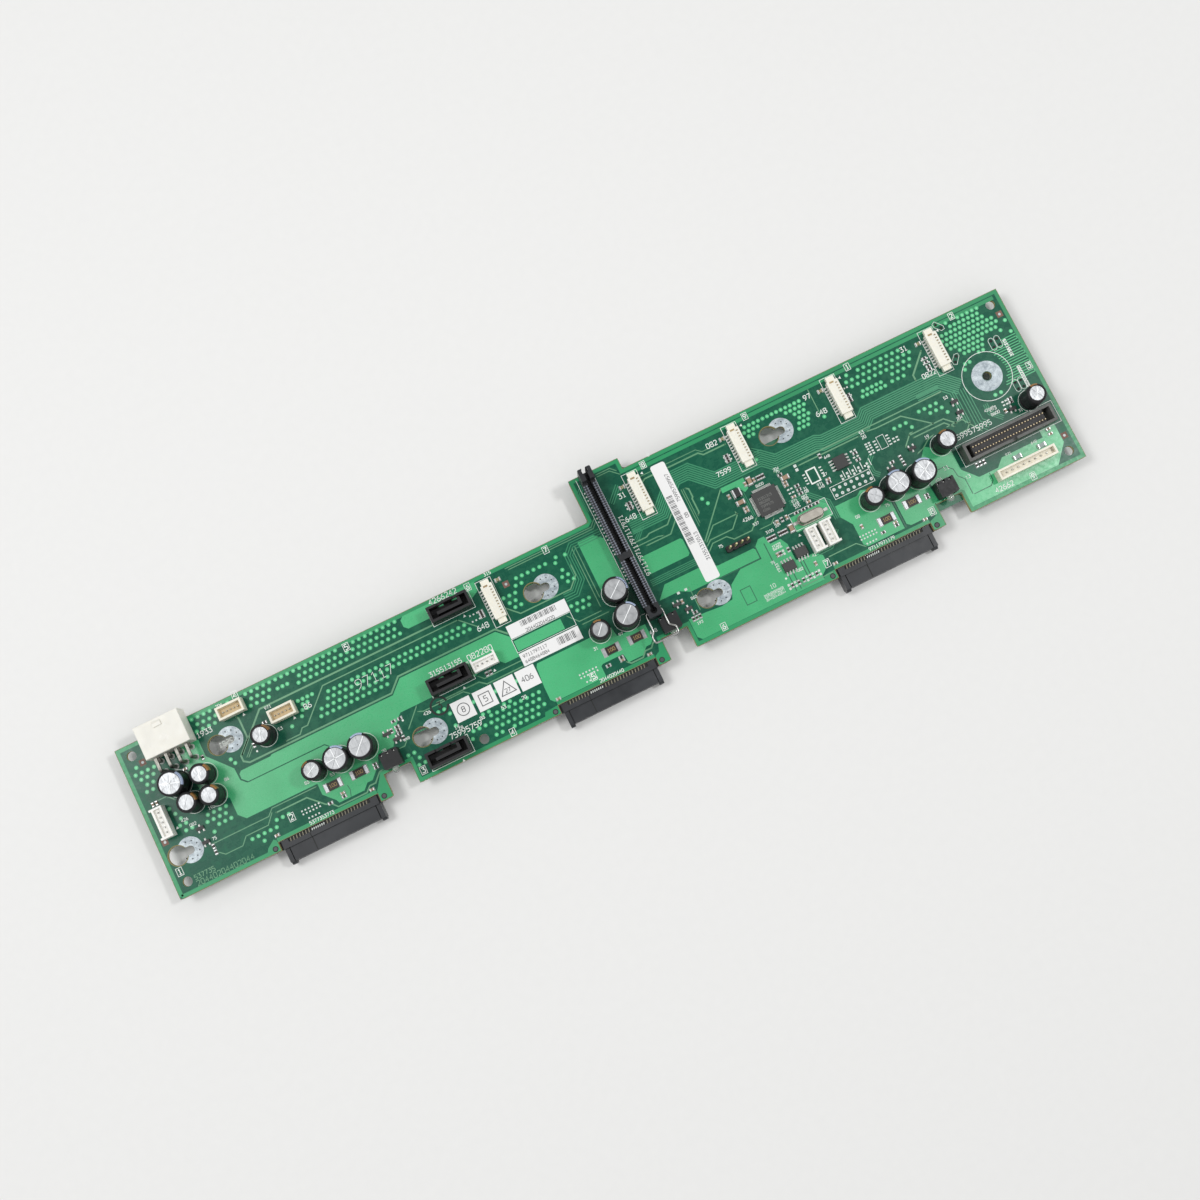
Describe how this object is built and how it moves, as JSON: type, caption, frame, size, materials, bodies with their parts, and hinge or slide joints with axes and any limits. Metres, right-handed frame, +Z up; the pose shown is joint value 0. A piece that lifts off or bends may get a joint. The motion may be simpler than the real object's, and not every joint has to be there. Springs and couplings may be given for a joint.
{
  "type": "drive backplane board",
  "caption": "Long stepped circuit board with drive connectors hung under its front edge, an upright card socket with a wire bail, cable headers, capacitors and indicator lights.",
  "frame": {"origin": "centre of the bounding box at its bottom, which is the underside of the drive connectors", "axes": "+X along the long edge towards the panel header, +Y away from the drive connectors, +Z up from the face that carries the parts"},
  "size_m": [0.3888, 0.087, 0.0209],
  "materials": {
    "black_mould": "transfer moulded, fine matt",
    "black_plastic": "moulded, slightly satin",
    "brown_sleeve": "shrunk sleeve, glossy",
    "can_aluminium": "drawn, satin",
    "clear_lens": "clear cast lens",
    "cream_plastic": "moulded, slightly translucent",
    "dark_sleeve": "shrunk sleeve, glossy",
    "gold_plate": "gold-plated pins and springs",
    "label_paper": "satin label stock",
    "laminate": "glossy solder mask over glass laminate",
    "spring_steel": "bright drawn wire",
    "tan_ceramic": "fired ceramic, satin",
    "tin_plate": "dull tin plating",
    "white_plastic": "moulded, slightly translucent"
  },
  "bodies": {
    "board": {"bridge_socket": "black_plastic", "bridge_socket_contacts": "gold_plate", "capacitor_leads": "tin_plate", "chip_capacitors": "tan_ceramic", "chip_end_caps": "tin_plate", "chip_resistors": "black_mould", "circuit_board": "laminate", "controller_chip": "black_mould", "controller_leads": "tin_plate", "cream_header_1": "cream_plastic", "cream_header_2": "cream_plastic", "crystal_can": "can_aluminium", "crystal_leads": "tin_plate", "data_socket_1": "black_plastic", "data_socket_2": "black_plastic", "data_socket_3": "black_plastic", "data_socket_contacts": "gold_plate", "drive_connector_1": "black_plastic", "drive_connector_2": "black_plastic", "drive_connector_3": "black_plastic", "drive_connector_contacts": "gold_plate", "eight_lead_chip_leads": "tin_plate", "eight_lead_chips": "black_mould", "fan_header_1": "cream_plastic", "fan_header_2": "cream_plastic", "fan_header_3": "cream_plastic", "fan_header_4": "cream_plastic", "fan_header_5": "cream_plastic", "fan_header_contacts": "tin_plate", "flat_fuses": "tan_ceramic", "large_capacitor_cans": "can_aluminium", "large_capacitor_sleeves": "dark_sleeve", "light_housing_1": "black_plastic", "light_housing_2": "black_plastic", "light_housing_3": "black_plastic", "light_leads": "tin_plate", "light_lenses": "clear_lens", "long_header": "cream_plastic", "panel_header_pins": "gold_plate", "panel_header_shroud": "black_plastic", "paper_labels": "label_paper", "pin_strip_body": "black_plastic", "pin_strip_pins": "gold_plate", "power_header_housing": "cream_plastic", "power_header_pins": "tin_plate", "shunt_end_caps": "tin_plate", "shunt_resistors": "black_mould", "signal_lights": "clear_lens", "small_capacitor_cans": "can_aluminium", "small_capacitor_sleeves": "brown_sleeve", "small_header_pins": "tin_plate", "square_coil": "black_mould", "transistor_leads": "tin_plate", "transistors": "black_mould", "white_header_1": "white_plastic", "white_header_2": "white_plastic", "white_header_3": "white_plastic", "white_header_4": "white_plastic"},
    "bail": {"card_bail": "spring_steel"}
  },
  "joints": [
    {"name": "bail_hinge", "type": "hinge", "parent": "board", "child": "bail", "pos_m": [0.01445, -0.0177, 0.0157], "axis": [-1, 0, 0], "range_deg": [0, 105]}
  ]
}
